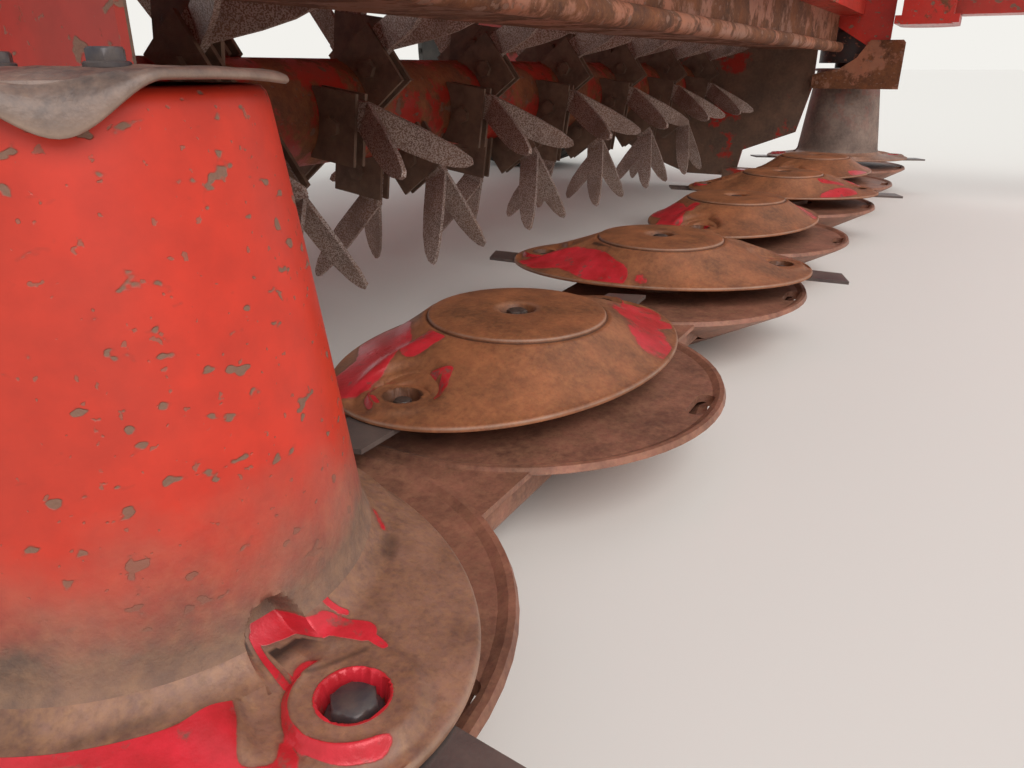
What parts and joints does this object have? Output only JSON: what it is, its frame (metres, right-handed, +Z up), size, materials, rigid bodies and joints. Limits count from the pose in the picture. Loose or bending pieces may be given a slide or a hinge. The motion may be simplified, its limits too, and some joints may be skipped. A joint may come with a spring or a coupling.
{
  "type": "trailed disc mower conditioner",
  "caption": "Side-pull trailed disc mower with oval discs, crop drums, a V-tine conditioner, lifting wheels, swinging drawbar and parking jack.",
  "frame": {"origin": "on the ground under the middle of the machine's box", "axes": "+Z up, travel towards -Y, the machine's left side and drawbar at +X"},
  "size_m": [2.98, 4.57, 1.145],
  "materials": {
    "red_paint": "worn gloss",
    "worn_red_steel": "rust with patches of paint",
    "rusty_steel": "rust",
    "bare_steel": "pitted",
    "spring_steel": "satin",
    "dark_casting": "painted cast",
    "black_plastic": "matt",
    "black_paint": "satin",
    "chrome_rod": "polished",
    "tyre_rubber": "dusty",
    "rim_paint": "satin",
    "lamp_plastic": "gloss"
  },
  "bodies": {
    "root": {"cutter_bar": "rusty_steel", "skid_shoes": "rusty_steel", "side_plate_right": "red_paint", "side_plate_left": "red_paint", "drum_guard": "red_paint", "header_beam": "red_paint", "deflector": "red_paint", "hood": "red_paint", "carriage_frame": "red_paint", "lower_links": "red_paint", "relief_springs": "spring_steel", "header_gearbox": "dark_casting", "belt_cover": "red_paint", "lamp_bar": "red_paint", "tail_lamps": "lamp_plastic"},
    "rotor": {"rotor_tube": "red_paint", "rotor_tines": "bare_steel"},
    "drawbar": {"drawbar": "red_paint", "drive_shaft": "black_plastic"},
    "jack": {"jack_leg": "bare_steel"},
    "swing_barrel": {"swing_barrel": "black_paint"},
    "swing_rod": {"swing_rod": "chrome_rod"},
    "front_guard": {"front_guard": "red_paint"},
    "drum_right": {"drum_right": "worn_red_steel", "knives_drum_right": "bare_steel"},
    "disc_1": {"disc_1": "worn_red_steel", "knives_disc_1": "bare_steel"},
    "disc_2": {"disc_2": "worn_red_steel", "knives_disc_2": "bare_steel"},
    "disc_3": {"disc_3": "worn_red_steel", "knives_disc_3": "bare_steel"},
    "disc_4": {"disc_4": "worn_red_steel", "knives_disc_4": "bare_steel"},
    "disc_5": {"disc_5": "worn_red_steel", "knives_disc_5": "bare_steel"},
    "drum_left": {"drum_left": "worn_red_steel", "knives_drum_left": "bare_steel"},
    "wheel_arm_right": {"wheel_arm_right": "red_paint"},
    "wheel_right": {"tyre_right": "tyre_rubber", "rim_right": "rim_paint"},
    "lift_barrel_right": {"lift_barrel_right": "black_paint"},
    "lift_rod_right": {"lift_rod_right": "chrome_rod"},
    "swath_door_right": {"swath_door_right": "red_paint"},
    "wheel_arm_left": {"wheel_arm_left": "red_paint"},
    "wheel_left": {"tyre_left": "tyre_rubber", "rim_left": "rim_paint"},
    "lift_barrel_left": {"lift_barrel_left": "black_paint"},
    "lift_rod_left": {"lift_rod_left": "chrome_rod"},
    "swath_door_left": {"swath_door_left": "red_paint"}
  },
  "joints": [
    {"name": "drum_right_spin", "type": "hinge", "parent": "root", "child": "drum_right", "pos_m": [-1.2, 0.713, 0.11], "axis": [0, 0, 1], "continuous": true},
    {"name": "disc_1_spin", "type": "hinge", "parent": "root", "child": "disc_1", "pos_m": [-0.8, 0.713, 0.11], "axis": [0, 0, 1], "continuous": true},
    {"name": "disc_2_spin", "type": "hinge", "parent": "root", "child": "disc_2", "pos_m": [-0.4, 0.713, 0.11], "axis": [0, 0, 1], "continuous": true},
    {"name": "disc_3_spin", "type": "hinge", "parent": "root", "child": "disc_3", "pos_m": [0, 0.713, 0.11], "axis": [0, 0, 1], "continuous": true},
    {"name": "disc_4_spin", "type": "hinge", "parent": "root", "child": "disc_4", "pos_m": [0.4, 0.713, 0.11], "axis": [0, 0, 1], "continuous": true},
    {"name": "disc_5_spin", "type": "hinge", "parent": "root", "child": "disc_5", "pos_m": [0.8, 0.713, 0.11], "axis": [0, 0, 1], "continuous": true},
    {"name": "drum_left_spin", "type": "hinge", "parent": "root", "child": "drum_left", "pos_m": [1.2, 0.713, 0.11], "axis": [0, 0, 1], "continuous": true},
    {"name": "rotor_spin", "type": "hinge", "parent": "root", "child": "rotor", "pos_m": [0, 1.163, 0.29], "axis": [1, 0, 0], "continuous": true},
    {"name": "wheel_arm_right_lift", "type": "hinge", "parent": "root", "child": "wheel_arm_right", "pos_m": [-1.15, 1.413, 0.62], "axis": [-1, 0, 0], "range_deg": [0, 30]},
    {"name": "wheel_right_spin", "type": "hinge", "parent": "wheel_arm_right", "child": "wheel_right", "pos_m": [-1.345, 1.863, 0.422], "axis": [1, 0, 0], "continuous": true},
    {"name": "lift_barrel_right_tilt", "type": "hinge", "parent": "root", "child": "lift_barrel_right", "pos_m": [-1.15, 1.515, 1.01], "axis": [-1, 0, 0], "range_deg": [-0.5, 12]},
    {"name": "lift_rod_right_slide", "type": "slide", "parent": "lift_barrel_right", "child": "lift_rod_right", "axis": [0, 0.3521, -0.936], "range_m": [-0.002, 0.125]},
    {"name": "wheel_arm_left_lift", "type": "hinge", "parent": "root", "child": "wheel_arm_left", "pos_m": [1.15, 1.413, 0.62], "axis": [-1, 0, 0], "range_deg": [0, 30]},
    {"name": "wheel_left_spin", "type": "hinge", "parent": "wheel_arm_left", "child": "wheel_left", "pos_m": [1.345, 1.863, 0.422], "axis": [1, 0, 0], "continuous": true},
    {"name": "lift_barrel_left_tilt", "type": "hinge", "parent": "root", "child": "lift_barrel_left", "pos_m": [1.15, 1.515, 1.01], "axis": [-1, 0, 0], "range_deg": [-0.5, 12]},
    {"name": "lift_rod_left_slide", "type": "slide", "parent": "lift_barrel_left", "child": "lift_rod_left", "axis": [0, 0.3521, -0.936], "range_m": [-0.002, 0.125]},
    {"name": "drawbar_swing", "type": "hinge", "parent": "root", "child": "drawbar", "pos_m": [1.24, 0.523, 0.55], "axis": [0, 0, 1], "range_deg": [-24, 6]},
    {"name": "swing_barrel_turn", "type": "hinge", "parent": "root", "child": "swing_barrel", "pos_m": [0.93, 0.483, 0.7], "axis": [0, 0, 1], "range_deg": [-24, 7]},
    {"name": "swing_rod_slide", "type": "slide", "parent": "swing_barrel", "child": "swing_rod", "axis": [0.3607, -0.9327, 0], "range_m": [-0.135, 0.035]},
    {"name": "jack_slide", "type": "slide", "parent": "drawbar", "child": "jack", "axis": [0, 0, 1], "range_m": [0, 0.3]},
    {"name": "front_guard_fold", "type": "hinge", "parent": "root", "child": "front_guard", "pos_m": [0, 0.663, 0.625], "axis": [1, 0, 0], "range_deg": [0, 90]},
    {"name": "swath_door_right_swing", "type": "hinge", "parent": "root", "child": "swath_door_right", "pos_m": [-1.078, 1.503, 0.38], "axis": [0, 0, -1], "range_deg": [0, 35]},
    {"name": "swath_door_left_swing", "type": "hinge", "parent": "root", "child": "swath_door_left", "pos_m": [1.078, 1.503, 0.38], "axis": [0, 0, 1], "range_deg": [0, 35]}
  ],
  "couplings": [
    {"joint": "drum_right_spin", "follows": "drum_left_spin", "ratio": 1},
    {"joint": "disc_1_spin", "follows": "drum_left_spin", "ratio": -1},
    {"joint": "disc_2_spin", "follows": "drum_left_spin", "ratio": 1},
    {"joint": "disc_3_spin", "follows": "drum_left_spin", "ratio": -1},
    {"joint": "disc_4_spin", "follows": "drum_left_spin", "ratio": 1},
    {"joint": "disc_5_spin", "follows": "drum_left_spin", "ratio": -1},
    {"joint": "lift_barrel_right_tilt", "follows": "wheel_arm_right_lift", "ratio": 0.3067},
    {"joint": "lift_rod_right_slide", "follows": "wheel_arm_right_lift", "m_per_rad": 0.2106},
    {"joint": "lift_barrel_left_tilt", "follows": "wheel_arm_left_lift", "ratio": 0.3067},
    {"joint": "lift_rod_left_slide", "follows": "wheel_arm_left_lift", "m_per_rad": 0.2106},
    {"joint": "swing_barrel_turn", "follows": "drawbar_swing", "ratio": 0.9453},
    {"joint": "swing_rod_slide", "follows": "drawbar_swing", "m_per_rad": 0.3079}
  ]
}
